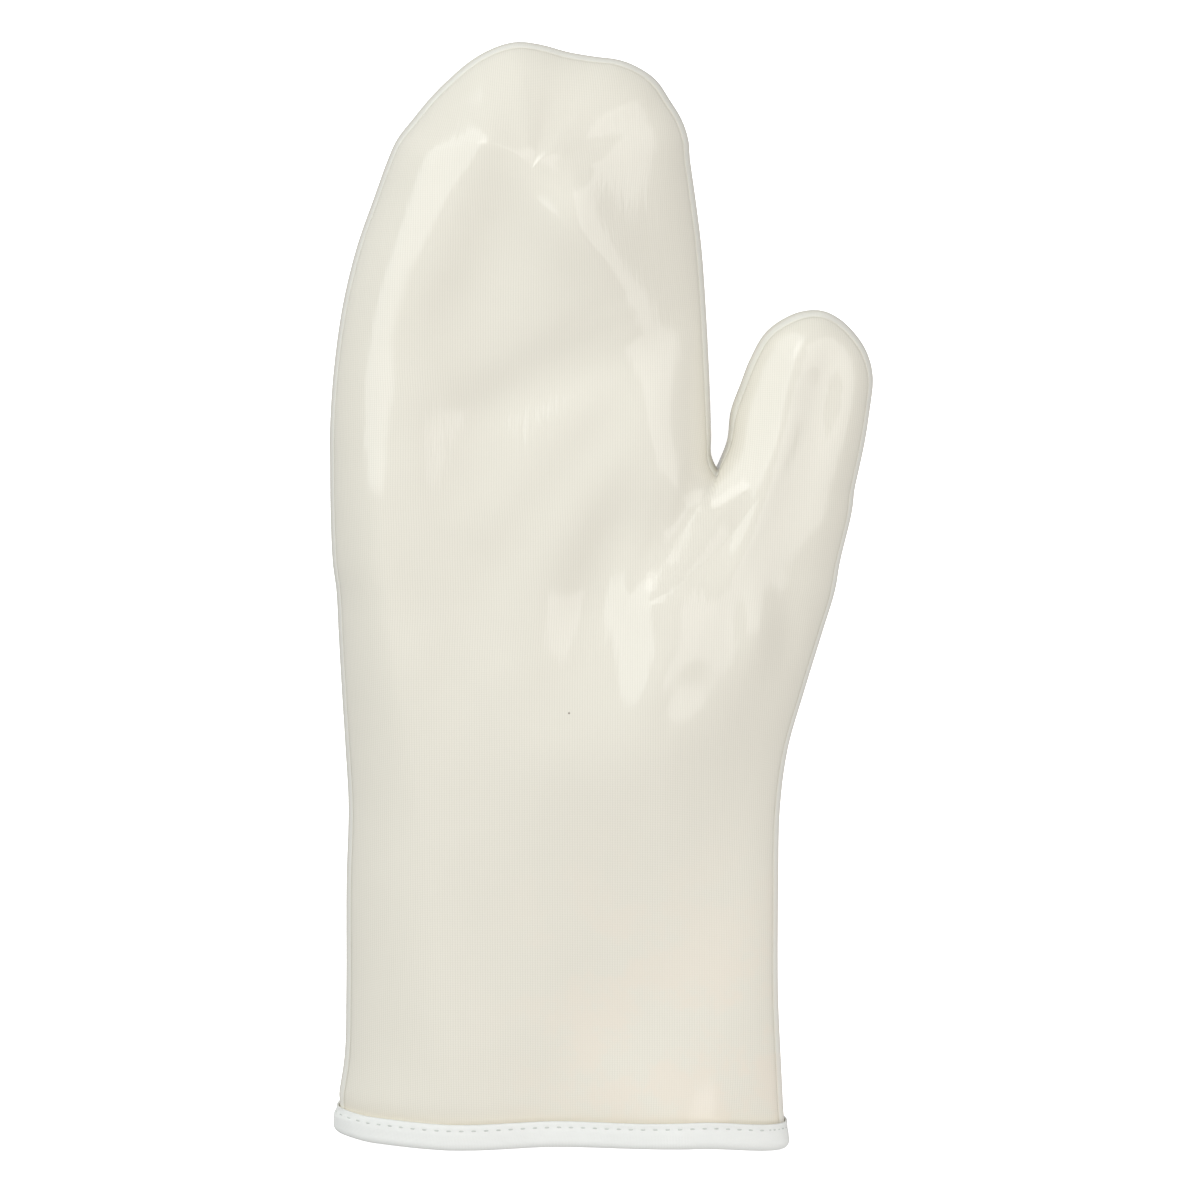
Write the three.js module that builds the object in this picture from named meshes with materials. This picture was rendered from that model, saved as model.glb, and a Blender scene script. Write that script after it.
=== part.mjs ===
// A silicone-coated heat mitt, lying on its back with the palm up.
// Millimetres, +Z up, the fingers towards +Y and the thumb towards +X.
// Two thick knitted panels meet along a seam that runs round the whole hand, and a folded tape
// binds the open cuff. The back panel turns up round the edge, so the seam lies just inside
// the outline on the palm side, and the back is flattened where it rests.
import * as THREE from "three";

// Driving dimensions
const mittLength = 372.8; // hem to fingertips
const crotchHeight = 229.5; // hem to the crotch of the thumb
const crotchAcross = 52; // centreline of the cuff to the crotch
const cuffWidth = 148; // across the flat cuff
const fingerWidth = 130; // across the hand, level with the crotch
const fingerShift = 14; // how far the middle of the hand lies from the centreline, away from the thumb
const thumbLength = 60; // crotch to thumb tip, along the thumb
const thumbWidth = 47;
const thumbLean = 13; // degrees away from the fingers
const mittHeight = 50; // thickness of the palm as it lies
const wall = 3; // coated knit with its fleece
const seamInset = 2; // outline to seam, seen from above
const seamGap = 0.3; // between the two panels
const tapeWidth = 6.8; // how far the binding reaches up the cuff
const tapeThickness = 0.8;
const tapeClearance = 0.3; // between the binding and the panels
const tapeRise = 3; // length over which the back comes down from the tape to the table, in tape widths

// Mesh steps
const ringSteps = 8; // from the seam to the middle of the hand
const tapeRoundSteps = 6; // round the fold of the binding
const curveSteps = 12; // along each span of a side, to space points evenly
const cuffSteps = 15;
const handSteps = 13;
const thumbSteps = 8;
const fingertipSteps = 8; // on each side of the highest point
const thumbTipSteps = 5;

// Shape of the edge: 2 is an ellipse, more is flatter on top
const palmFullness = 1.9;
const backFullness = 2.5;
const camber = 0.22; // share of the rise that is left for the middle of the palm

// Edges of the cuff and the lower hand. up is a share of the crotch height, left and right of half the cuff.
const cuffSections = [
  { up: 0.0, left: 1.076, right: 1.03 },
  { up: 0.03, left: 1.071, right: 1.02 },
  { up: 0.108, left: 1.035, right: 1.005 },
  { up: 0.211, left: 1.025, right: 0.989 },
  { up: 0.374, left: 1.02, right: 0.988 },
  { up: 0.492, left: 1.008, right: 0.995 },
  { up: 0.58, left: 1.02, right: 1.03 },
  { up: 0.669, left: 1.035, right: 1.107 },
  { up: 0.758, left: 1.048, right: 1.19 },
  { up: 0.817, left: 1.056, right: 1.244 },
  { up: 0.861, left: 1.072, right: 1.267 },
  { up: 0.935, left: 1.08, right: 1.32 },
];
const junctionRow = 9; // the section where the three middle lines of the hand meet

// Edges of the hand above the crotch. up is a share of the finger length, left and right of half the finger width.
const handSections = [
  { up: 0.03, left: 1.015, right: 0.982 },
  { up: 0.08, left: 1.015, right: 0.98 },
  { up: 0.218, left: 0.995, right: 0.969 },
  { up: 0.38, left: 0.945, right: 0.95 },
  { up: 0.52, left: 0.869, right: 0.927 },
  { up: 0.636, left: 0.778, right: 0.895 },
  { up: 0.729, left: 0.702, right: 0.866 },
];
// Over the fingertips, from the little finger's side to the thumb's
const fingertipArc = [
  { up: 0.775, across: -0.655 },
  { up: 0.822, across: -0.574 },
  { up: 0.87, across: -0.486 },
  { up: 0.916, across: -0.385 },
  { up: 0.962, across: -0.262 },
  { up: 0.991, across: -0.14 },
  { up: 1.003, across: -0.03 },
  { up: 0.996, across: 0.1 },
  { up: 0.98, across: 0.229 },
  { up: 0.969, across: 0.37 },
  { up: 0.961, across: 0.5 },
  { up: 0.943, across: 0.6 },
  { up: 0.914, across: 0.69 },
  { up: 0.868, across: 0.76 },
  { up: 0.822, across: 0.822 },
  { up: 0.775, across: 0.857 },
];
const fingertipPeak = 6; // row of the highest point

// Edges of the thumb in its own leaning frame. up is a share of the thumb's length, left and right of half its width.
const thumbSections = [
  { up: 0.06, left: 0.99, right: 1.0 },
  { up: 0.17, left: 0.965, right: 0.995 },
  { up: 0.33, left: 1.01, right: 0.985 },
  { up: 0.5, left: 0.96, right: 0.95 },
];
const thumbTipArc = [
  { up: 0.63, across: -0.915 },
  { up: 0.8, across: -0.79 },
  { up: 0.9, across: -0.59 },
  { up: 0.97, across: -0.34 },
  { up: 1.0, across: -0.06 },
  { up: 0.98, across: 0.2 },
  { up: 0.92, across: 0.47 },
  { up: 0.83, across: 0.71 },
  { up: 0.7, across: 0.88 },
];
const thumbTipPeak = 4;

// How the hem lies: across is a share of half the cuff, up a share of the crotch height by which it's lifted.
const hemLine = [
  { across: -1.08, up: 0.003 },
  { across: -0.9, up: -0.001 },
  { across: -0.5, up: -0.003 },
  { across: 0.0, up: -0.001 },
  { across: 0.6, up: 0.0015 },
  { across: 1.04, up: -0.012 },
];
const hemReach = 0.2; // share of the crotch height over which that lift dies away

// Places on the edge, in the order of the outline, as shares of the mitt's height: how high the edge
// lies above the table, and how far the palm and the back reach in before they level off.
const edgePlaces = [
  { at: "hem, little finger side", height: 0.44, palm: 0.8, back: 0.46 },
  { at: "top of the tape", height: 0.44, palm: 0.8, back: 0.46 },
  { at: "junction", height: 0.42, palm: 0.4, back: 0.5 },
  { at: "start of the fingertips", height: 0.38, palm: 0.31, back: 0.5 },
  { at: "highest fingertip", height: 0.36, palm: 0.8, back: 0.46 },
  { at: "end of the fingertips", height: 0.38, palm: 0.8, back: 0.5 },
  { at: "crotch", height: 0.44, palm: 0.3, back: 0.3 },
  { at: "start of the thumb tip", height: 0.42, palm: 0.36, back: 0.36 },
  { at: "thumb tip", height: 0.41, palm: 0.36, back: 0.36 },
  { at: "end of the thumb tip", height: 0.42, palm: 0.36, back: 0.38 },
  { at: "junction, thumb side", height: 0.46, palm: 0.88, back: 0.6 },
  { at: "top of the tape, thumb side", height: 0.62, palm: 0.7, back: 0.9 },
  { at: "hem, thumb side", height: 0.64, palm: 0.7, back: 0.9 },
];

// Middle lines of the cuff, the hand and the thumb. crown and floor are the heights of the palm and
// the back there, as shares of the mitt's height; a floor below 0 is pressed flat on the table.
const hemMiddle = { across: -0.1, crown: 0.91, floor: -0.1 };
const junction = { across: 0.31, up: 0.805, crown: 0.96, floor: -0.14 };
const handMiddle = { across: 0.04, up: 0.7, crown: 0.91, floor: -0.1 };
const thumbBend = { across: -0.3, up: -0.42, crown: 0.9, floor: -0.06 };
const thumbMiddle = { across: 0.02, up: 0.6, crown: 0.76, floor: 0.08 };

// Folds and swells of the palm: where on the mitt, half lengths along and across the fold, its turn in degrees,
// and its height. x and y are shares of the mitt's length from the hem's centre, as are long and wide.
const folds = [
  { name: "hollow beside the ball of the thumb", x: 0.032, y: 0.537, long: 0.064, wide: 0.03, turn: 70, height: -0.11 },
  { name: "fold from the crotch", x: 0.128, y: 0.603, long: 0.081, wide: 0.018, turn: 57, height: -0.053 },
  { name: "swell of the wrist", x: 0.209, y: 0.386, long: 0.2, wide: 0.07, turn: 23, height: 0.067 },
  { name: "hollow of the fingers", x: -0.085, y: 0.74, long: 0.164, wide: 0.046, turn: -85, height: -0.049 },
  { name: "ridge to the fingertips", x: 0.012, y: 0.846, long: 0.108, wide: 0.041, turn: -50, height: 0.109 },
  { name: "finger crease", x: 0.045, y: 0.72, long: 0.186, wide: 0.026, turn: 21, height: -0.052 },
  { name: "swell of the little fingertip", x: -0.11, y: 0.838, long: 0.036, wide: 0.096, turn: -23, height: 0.11 },
  { name: "hollow of the fingertips", x: 0.039, y: 0.928, long: 0.086, wide: 0.046, turn: 29, height: -0.105 },
  { name: "ridge at the root of the thumb", x: 0.177, y: 0.471, long: 0.041, wide: 0.019, turn: -86, height: 0.084 },
  { name: "swell of the thumb", x: 0.209, y: 0.621, long: 0.082, wide: 0.045, turn: 86, height: 0.105 },
  { name: "hollow along the thumb", x: 0.223, y: 0.629, long: 0.199, wide: 0.03, turn: 80, height: -0.1 },
  { name: "cuff hollow, little finger's side", x: -0.115, y: 0.234, long: 0.198, wide: 0.049, turn: -70, height: -0.074 },
  { name: "cuff hollow, middle", x: 0.003, y: 0.073, long: 0.155, wide: 0.048, turn: 79, height: -0.055 },
  { name: "cuff swell, little finger's side", x: -0.132, y: 0.3, long: 0.198, wide: 0.053, turn: -82, height: 0.11 },
  { name: "palm crease", x: 0.019, y: 0.639, long: 0.143, wide: 0.024, turn: 52, height: -0.042 },
  { name: "hollow below the fingertips", x: 0.071, y: 0.833, long: 0.049, wide: 0.1, turn: 28, height: -0.075 },
  { name: "swell of the first finger", x: 0.126, y: 0.833, long: 0.175, wide: 0.055, turn: -28, height: 0.11 },
  { name: "bridge over the palm", x: 0.075, y: 0.501, long: 0.093, wide: 0.035, turn: -43, height: 0.059 },
  { name: "hollow below the finger crease", x: -0.042, y: 0.671, long: 0.196, wide: 0.046, turn: 44, height: -0.063 },
  { name: "long hollow from the crotch", x: 0.06, y: 0.517, long: 0.131, wide: 0.034, turn: 56, height: -0.062 },
  { name: "lower ball of the thumb", x: 0.093, y: 0.38, long: 0.066, wide: 0.04, turn: 38, height: 0.048 },
  { name: "heel of the hand", x: -0.022, y: 0.385, long: 0.095, wide: 0.074, turn: -62, height: 0.088 },
  { name: "edge of the hand", x: -0.162, y: 0.581, long: 0.12, wide: 0.059, turn: 80, height: 0.092 },
  { name: "cuff hollow, thumb's side", x: 0.092, y: 0.138, long: 0.2, wide: 0.064, turn: 62, height: -0.072 },
  { name: "hem swell, thumb's side", x: 0.098, y: 0.007, long: 0.112, wide: 0.044, turn: -40, height: 0.069 },
  { name: "ball of the thumb", x: 0.081, y: 0.428, long: 0.04, wide: 0.023, turn: 69, height: 0.062 },
];

const degrees = Math.PI / 180;
const halfCuff = cuffWidth / 2;
const halfFingers = fingerWidth / 2;
const halfThumb = thumbWidth / 2;
const fingerLength = mittLength - crotchHeight;
const tapeProud = tapeThickness + tapeClearance;

const smooth = (t) => t * t * (3 - 2 * t);
const mix = (a, b, t) => a + (b - a) * t;
const clamp01 = (t) => Math.min(1, Math.max(0, t));

// Places in the plane of the table, from the shares in the tables above
const cuffPoint = (across, up) => new THREE.Vector2(across * halfCuff, up * crotchHeight);
const handPoint = (across, up) =>
  new THREE.Vector2(across * halfFingers - fingerShift, crotchHeight + up * fingerLength);
function thumbPoint(across, up) {
  const fromCrotch = new THREE.Vector2((1 + across) * halfThumb, up * thumbLength);
  return fromCrotch.rotateAround(new THREE.Vector2(), -thumbLean * degrees).add(crotch);
}
const crotch = new THREE.Vector2(crotchAcross, crotchHeight);

// The outline as stretches between the places in edgePlaces, each a list of points.
function outlineStretches() {
  const tapeTop = 1;
  const left = cuffSections.map((s) => cuffPoint(-s.left, s.up));
  const right = cuffSections.map((s) => cuffPoint(s.right, s.up)).reverse();
  left[tapeTop].y = right[right.length - 1 - tapeTop].y = tapeWidth;
  const handLeft = handSections.map((s) => handPoint(-s.left, s.up));
  const handRight = handSections.map((s) => handPoint(s.right, s.up)).reverse();
  const tips = fingertipArc.map((s) => handPoint(s.across, s.up));
  const thumbLeft = thumbSections.map((s) => thumbPoint(-s.left, s.up));
  const thumbRight = thumbSections.map((s) => thumbPoint(s.right, s.up)).reverse();
  const thumbTips = thumbTipArc.map((s) => thumbPoint(s.across, s.up));
  const junctionRight = right.length - 1 - junctionRow;
  return [
    left.slice(0, tapeTop + 1),
    left.slice(tapeTop, junctionRow + 1),
    [...left.slice(junctionRow), ...handLeft],
    [handLeft.at(-1), ...tips.slice(0, fingertipPeak + 1)],
    [...tips.slice(fingertipPeak), handRight[0]],
    [...handRight, crotch],
    [crotch, ...thumbLeft],
    [thumbLeft.at(-1), ...thumbTips.slice(0, thumbTipPeak + 1)],
    [...thumbTips.slice(thumbTipPeak), thumbRight[0]],
    [...thumbRight, ...right.slice(0, junctionRight + 1)],
    right.slice(junctionRight, -tapeTop),
    right.slice(-tapeTop - 1),
  ];
}

// The middle lines as points with their crown and floor, from a share along each line.
const middle = (point, place) => ({ point, crown: place.crown, floor: place.floor });
const middles = {
  hem: middle(cuffPoint(hemMiddle.across, 0), hemMiddle),
  junction: middle(cuffPoint(junction.across, junction.up), junction),
  hand: middle(handPoint(handMiddle.across, handMiddle.up), handMiddle),
  bend: middle(thumbPoint(thumbBend.across, thumbBend.up), thumbBend),
  thumb: middle(thumbPoint(thumbMiddle.across, thumbMiddle.up), thumbMiddle),
};
const between = (a, b) => (t) => ({
  point: a.point.clone().lerp(b.point, t),
  crown: mix(a.crown, b.crown, smooth(t)),
  floor: mix(a.floor, b.floor, smooth(t)),
});
const tapeMiddle = between(middles.hem, middles.junction)(tapeWidth / middles.junction.point.y);
const alongTape = between(middles.hem, tapeMiddle);
const alongCuff = between(tapeMiddle, middles.junction);
const alongHand = between(middles.junction, middles.hand);
const alongThumb = (t) => {
  const { junction: a, bend: b, thumb: c } = middles;
  const bent = new THREE.QuadraticBezierCurve(a.point, b.point, c.point).getPoint(t);
  return { ...between(a, c)(t), point: bent };
};

// Each stretch of the outline with its steps, its line of middles and how its points crowd towards its ends.
const even = (t) => t;
const towardsEnd = (t) => 1 - (1 - t) ** 1.5;
const towardsStart = (t) => t ** 2;
const stretchPlans = [
  { steps: 1, inward: alongTape, spacing: even },
  { steps: cuffSteps, inward: alongCuff, spacing: even },
  { steps: handSteps, inward: alongHand, spacing: even },
  { steps: fingertipSteps, inward: () => middles.hand, spacing: even },
  { steps: fingertipSteps, inward: () => middles.hand, spacing: even },
  { steps: handSteps, inward: (t) => alongHand(1 - t), spacing: towardsEnd },
  { steps: thumbSteps, inward: alongThumb, spacing: towardsStart },
  { steps: thumbTipSteps, inward: () => middles.thumb, spacing: even },
  { steps: thumbTipSteps, inward: () => middles.thumb, spacing: even },
  { steps: thumbSteps, inward: (t) => alongThumb(1 - t), spacing: even },
  { steps: cuffSteps, inward: (t) => alongCuff(1 - t), spacing: even },
  { steps: 1, inward: (t) => alongTape(1 - t), spacing: even },
];

// Spokes from the outline to the middle lines, each with the heights and shoulders at its outer end.
function makeSpokes() {
  const stretches = outlineStretches();
  const points = [stretches[0][0], ...stretches.flatMap((s) => s.slice(1))];
  const curve = new THREE.CatmullRomCurve3(
    points.map((p) => new THREE.Vector3(p.x, p.y, 0)),
    false,
    "centripetal",
  );
  const spans = points.length - 1;
  const spokes = [];
  let first = 0;
  stretches.forEach((stretch, s) => {
    const { steps, inward, spacing } = stretchPlans[s];
    const last = first + stretch.length - 1;
    const fine = (stretch.length - 1) * curveSteps;
    const line = Array.from({ length: fine + 1 }, (_, i) => curve.getPoint(mix(first, last, i / fine) / spans));
    const walked = line.map(() => 0);
    for (let i = 1; i < line.length; i++) walked[i] = walked[i - 1] + line[i].distanceTo(line[i - 1]);
    for (let j = s ? 1 : 0; j <= steps; j++) {
      const t = j / steps;
      const goal = spacing(t) * walked.at(-1);
      const i = Math.max(1, walked.findIndex((w) => w >= goal - 1e-9));
      const share = (goal - walked[i - 1]) / (walked[i] - walked[i - 1]);
      const foot = line[i - 1].clone().lerp(line[i], share);
      const place = (key) => mix(edgePlaces[s][key], edgePlaces[s + 1][key], smooth(t));
      spokes.push({
        foot: new THREE.Vector2(foot.x, foot.y),
        ...inward(t),
        edge: place("height") * mittHeight,
        palmShoulder: place("palm") * mittHeight,
        backShoulder: place("back") * mittHeight,
      });
    }
    first = last;
  });
  return spokes;
}

// Height of all folds at a place on the palm: a sum of long round-ended bumps and hollows.
function foldHeight(x, y) {
  let sum = 0;
  for (const f of folds) {
    const offset = new THREE.Vector2(x / mittLength - f.x, y / mittLength - f.y);
    offset.rotateAround(new THREE.Vector2(), -f.turn * degrees);
    sum += f.height * mittHeight * Math.exp(-((offset.x / f.long) ** 2) - (offset.y / f.wide) ** 2);
  }
  return sum;
}

// How far a panel has risen from the edge, from 0 to 1: a full round shoulder and a slow camber behind it.
function risen(distance, shoulder, length, fullness) {
  const shoulderPart = Math.sqrt(1 - (1 - clamp01(distance / shoulder)) ** fullness);
  const camberPart = 1 - (1 - clamp01(distance / length)) ** 2;
  return mix(shoulderPart, Math.sqrt(clamp01(distance / shoulder)) * camberPart, camber);
}

// The table, raised near the hem by the thickness of the tape that goes under the back there.
const tableHeight = (y) => tapeProud * smooth(clamp01((tapeRise + 1) / tapeRise - y / (tapeRise * tapeWidth)));

// Rounds the meeting of a falling surface with the table over a few millimetres, and is flat below it.
function pressed(height, table) {
  const round = 0.06 * mittHeight;
  const above = height - table;
  if (above >= round) return height;
  return above <= -round ? table : table + (above + round) ** 2 / (4 * round);
}

// How far a point near the hem is lifted along the mitt, for the way the hem lies.
function hemLift(x, y) {
  const across = Math.min(hemLine.at(-1).across, Math.max(hemLine[0].across, x / halfCuff));
  const row = Math.max(1, hemLine.findIndex((h) => h.across >= across));
  const [a, b] = [hemLine[row - 1], hemLine[row]];
  const up = mix(a.up, b.up, smooth((across - a.across) / (b.across - a.across)));
  return up * crotchHeight * (1 - smooth(clamp01((y - tapeWidth) / (hemReach * crotchHeight))));
}

// A point of the outer surface, at a distance inward along a spoke, on the palm or on the back.
function surfacePoint(spoke, distance, onPalm) {
  const length = spoke.foot.distanceTo(spoke.point);
  const place = spoke.foot.clone().lerp(spoke.point, Math.min(1, distance / length));
  const shoulder = onPalm ? spoke.palmShoulder : spoke.backShoulder;
  const goal = (onPalm ? spoke.crown : spoke.floor) * mittHeight;
  const share = risen(distance, shoulder, length, onPalm ? palmFullness : backFullness);
  const plain = mix(spoke.edge, goal, share);
  const z = onPalm ? plain + foldHeight(place.x, place.y) * share ** 2 : pressed(plain, tableHeight(place.y));
  return new THREE.Vector3(place.x, place.y + hemLift(place.x, place.y), z);
}

// Distances of the rings from the outline along a spoke: the seam first, then closer near the edge.
function ringDistance(spoke, ring) {
  if (ring <= 1) return ring * seamInset;
  const length = spoke.foot.distanceTo(spoke.point);
  return mix(seamInset, length, 1 - Math.cos((((ring - 1) / ringSteps) * Math.PI) / 2));
}

// Points that fall on one place are one point.
const skin = [];
function pointId(point) {
  const sameSpot = 0.001;
  const found = skin.findIndex((p) => p.distanceToSquared(point) < sameSpot ** 2);
  return found < 0 ? skin.push(point) - 1 : found;
}

const spokes = makeSpokes();
const rings = ringSteps + 1;
const palmIds = spokes.map((s) =>
  Array.from({ length: rings + 1 }, (_, r) => pointId(surfacePoint(s, ringDistance(s, r), true))),
);
const backIds = spokes.map((s, k) =>
  Array.from({ length: rings + 1 }, (_, r) =>
    r ? pointId(surfacePoint(s, ringDistance(s, r), false)) : palmIds[k][0],
  ),
);

// Triangles between neighbouring spokes from one ring to another, facing away from the hollow.
function facesBetween(ids, fromRing, toRing, facesUp) {
  const faces = [];
  const add = (a, b, c) => {
    if (a !== b && b !== c && c !== a) faces.push(facesUp ? [a, b, c] : [a, c, b]);
  };
  for (let k = 0; k + 1 < ids.length; k++)
    for (let r = fromRing; r < toRing; r++) {
      add(ids[k][r], ids[k + 1][r], ids[k + 1][r + 1]);
      add(ids[k][r], ids[k + 1][r + 1], ids[k][r + 1]);
    }
  return faces;
}
// Going round the outline with the hand on the right, these triangles wind downwards, hence the palm is reversed.
const palmFaces = facesBetween(palmIds, 1, rings, false);
const rimFaces = facesBetween(palmIds, 0, 1, false);
const backFaces = facesBetween(backIds, 0, rings, true);

// Vertex normals of the whole closed skin, weighted by area.
const normals = skin.map(() => new THREE.Vector3());
for (const face of [...palmFaces, ...rimFaces, ...backFaces]) {
  const [a, b, c] = face.map((id) => skin[id]);
  const normal = b.clone().sub(a).cross(c.clone().sub(a));
  face.forEach((id) => normals[id].add(normal));
}
normals.forEach((n) => n.normalize());

// A closed mesh from a list of points and the triangles between them.
function meshOf(name, points, faces, material) {
  const geometry = new THREE.BufferGeometry().setFromPoints(points);
  geometry.setIndex(faces.flat());
  geometry.computeVertexNormals();
  const mesh = new THREE.Mesh(geometry, material);
  mesh.name = name;
  return mesh;
}

// A panel: its outer faces, the same faces one wall further in, and walls along its open edges.
function panel(name, faces, place, material) {
  const ids = [...new Set(faces.flat())];
  const at = new Map(ids.map((id, i) => [id, i]));
  const outer = ids.map(place);
  const inner = ids.map((id, i) => outer[i].clone().addScaledVector(normals[id], -wall));
  const count = ids.length;
  const all = [];
  const open = new Map();
  for (const face of faces) {
    const [a, b, c] = face.map((id) => at.get(id));
    all.push([a, b, c], [a + count, c + count, b + count]);
    for (const [from, to] of [[a, b], [b, c], [c, a]])
      if (!open.delete(`${to},${from}`)) open.set(`${from},${to}`, [from, to]);
  }
  for (const [from, to] of open.values())
    all.push([to, from, from + count], [to, from + count, to + count]);
  return meshOf(name, [...outer, ...inner], all, material);
}

// The seam's points on each panel stand back from the seam line by half the gap, along the surface.
function beside(sign) {
  const moved = new Map();
  spokes.forEach((spoke, k) => {
    const step = 0.05;
    const near = surfacePoint(spoke, seamInset - step, true);
    const far = surfacePoint(spoke, seamInset + step, true);
    const inward = far.sub(near).normalize();
    const id = palmIds[k][1];
    moved.set(id, skin[id].clone().addScaledVector(inward, (sign * seamGap) / 2));
  });
  return (id) => moved.get(id) ?? skin[id];
}

// The binding: a folded tape with its open side up, carried round the hem. At each place it is
// a leg outside the wall, a round fold under the hem and a leg inside the hollow.
function binding(name, material) {
  const hemRow = 0;
  const last = spokes.length - 1;
  const inwards = Array.from({ length: rings }, (_, i) => i);
  const outwards = inwards.map((r) => rings - r);
  const loopOf = (row) => [
    ...inwards.map((r) => palmIds[row][r]),
    ...outwards.map((r) => palmIds[last - row][r]),
    ...inwards.map((r) => backIds[last - row][r]),
    ...outwards.map((r) => backIds[row][r]),
  ];
  const hem = loopOf(hemRow);
  const top = loopOf(1);
  const down = new THREE.Vector3(0, -1, 0);
  const section = (i, reach) => {
    const place = (id, side) => skin[id].clone().addScaledVector(normals[id], -wall / 2 + side * reach);
    const fold = Array.from({ length: tapeRoundSteps + 1 }, (_, s) => {
      const angle = (s / tapeRoundSteps) * Math.PI;
      return place(hem[i], Math.cos(angle)).addScaledVector(down, reach * Math.sin(angle));
    });
    return [place(top[i], 1), ...fold, place(top[i], -1)];
  };
  const insideReach = wall / 2 + tapeClearance;
  const points = [];
  const rows = hem.map((_, i) => {
    const ring = [...section(i, insideReach + tapeThickness), ...section(i, insideReach).reverse()];
    return ring.map((p) => points.push(p) - 1);
  });
  const faces = [];
  rows.forEach((row, i) => {
    const next = rows[(i + 1) % rows.length];
    row.forEach((a, j) => {
      const b = row[(j + 1) % row.length];
      const c = next[(j + 1) % row.length];
      faces.push([a, b, c], [a, c, next[j]]);
    });
  });
  return meshOf(name, points, faces, material);
}

const coatedKnit = new THREE.MeshStandardMaterial({ color: 0xe9e7d8, roughness: 0.3, metalness: 0 });
const whiteTape = new THREE.MeshStandardMaterial({ color: 0xeef0ec, roughness: 0.6, metalness: 0 });

const mitt = new THREE.Group();
mitt.add(
  panel("palm_panel", palmFaces, beside(1), coatedKnit),
  panel("back_panel", [...rimFaces, ...backFaces], beside(-1), coatedKnit),
  binding("cuff_binding", whiteTape),
);

// The origin is below the middle of the whole mitt, on the table.
const box = new THREE.Box3().setFromObject(mitt);
const centre = box.getCenter(new THREE.Vector3());
mitt.position.set(-centre.x, -centre.y, -box.min.z);

export default mitt;
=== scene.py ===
"""A silicone-coated heat mitt, lying on its back with the palm up, in metres.

The fingers point to +Y and the thumb to +X. The hand is one smooth skin, worked out along spokes that run
from the outline to a middle line. The palm panel and the back panel are cut from it, and the cuff binding is
folded round its open end.
"""
import math

import bpy
import numpy as np
from mathutils import Matrix, Vector


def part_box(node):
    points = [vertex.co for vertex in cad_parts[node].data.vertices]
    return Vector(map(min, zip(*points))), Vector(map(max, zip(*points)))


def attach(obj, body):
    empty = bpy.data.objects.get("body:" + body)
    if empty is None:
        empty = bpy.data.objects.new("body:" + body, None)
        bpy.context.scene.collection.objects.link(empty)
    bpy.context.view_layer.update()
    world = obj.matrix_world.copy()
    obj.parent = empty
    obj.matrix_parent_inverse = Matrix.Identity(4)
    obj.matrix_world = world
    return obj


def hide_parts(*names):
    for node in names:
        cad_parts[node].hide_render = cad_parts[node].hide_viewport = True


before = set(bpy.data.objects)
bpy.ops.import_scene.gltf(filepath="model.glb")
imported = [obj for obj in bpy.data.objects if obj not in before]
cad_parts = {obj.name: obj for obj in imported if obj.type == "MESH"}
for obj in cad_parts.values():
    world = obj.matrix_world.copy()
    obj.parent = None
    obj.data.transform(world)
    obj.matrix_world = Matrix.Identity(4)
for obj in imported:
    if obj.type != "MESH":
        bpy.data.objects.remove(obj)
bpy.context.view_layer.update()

MM = 0.001

# Camera, close to straight above and a little towards the fingertips
CAMERA_AIM = Vector((0, 0, 21 * MM))
CAMERA_DISTANCE = 1.5
CAMERA_TILT = math.radians(8)
VIEW_WIDTH = 410 * MM

camera_data = bpy.data.cameras.new("camera")
camera_data.sensor_width = 36
camera_data.lens = 36 * CAMERA_DISTANCE / VIEW_WIDTH
camera_data.clip_end = 20
camera = bpy.data.objects.new("camera", camera_data)
towards_camera = Vector((0, math.sin(CAMERA_TILT), math.cos(CAMERA_TILT)))
camera.location = CAMERA_AIM + towards_camera * CAMERA_DISTANCE
camera.rotation_euler = (-CAMERA_TILT, 0, 0)
bpy.context.scene.collection.objects.link(camera)
bpy.context.scene.camera = camera

# Sizes
MITT_LENGTH = 372.8 * MM
CROTCH_HEIGHT = 229.5 * MM
CROTCH_ACROSS = 52 * MM
CUFF_WIDTH = 148 * MM
FINGER_WIDTH = 130 * MM
FINGER_SHIFT = 14 * MM
FINGER_LENGTH = MITT_LENGTH - CROTCH_HEIGHT
THUMB_LENGTH = 60 * MM
THUMB_WIDTH = 47 * MM
THUMB_LEAN = math.radians(13)
MITT_HEIGHT = 50 * MM
WALL = 3 * MM
SEAM_INSET = 2 * MM
SEAM_GAP = 0.12 * MM
SEAM_DEPTH = 0.12 * MM
SEAM_REACH = 0.8 * MM
TAPE_WIDTH = 6.8 * MM
TAPE_THICKNESS = 0.8 * MM
TAPE_CLEARANCE = 0.3 * MM
TAPE_RISE = 3
TAPE_PINCH = 0.9 * MM
PINCH_BELOW = 2.5 * MM
PINCH_REACH = 6 * MM
HEM_REACH = 0.2
PALM_FULLNESS = 1.9
BACK_FULLNESS = 2.5
CAMBER = 0.22

# Mesh steps: along each stretch of the outline, over the strip outside the seam, and on to the middle line
STRETCH_STEPS = (6, 100, 86, 46, 46, 86, 42, 32, 32, 42, 100, 6)
EDGE_RINGS = 6
EDGE_POWER = 1.6
INNER_RINGS = 64

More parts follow.
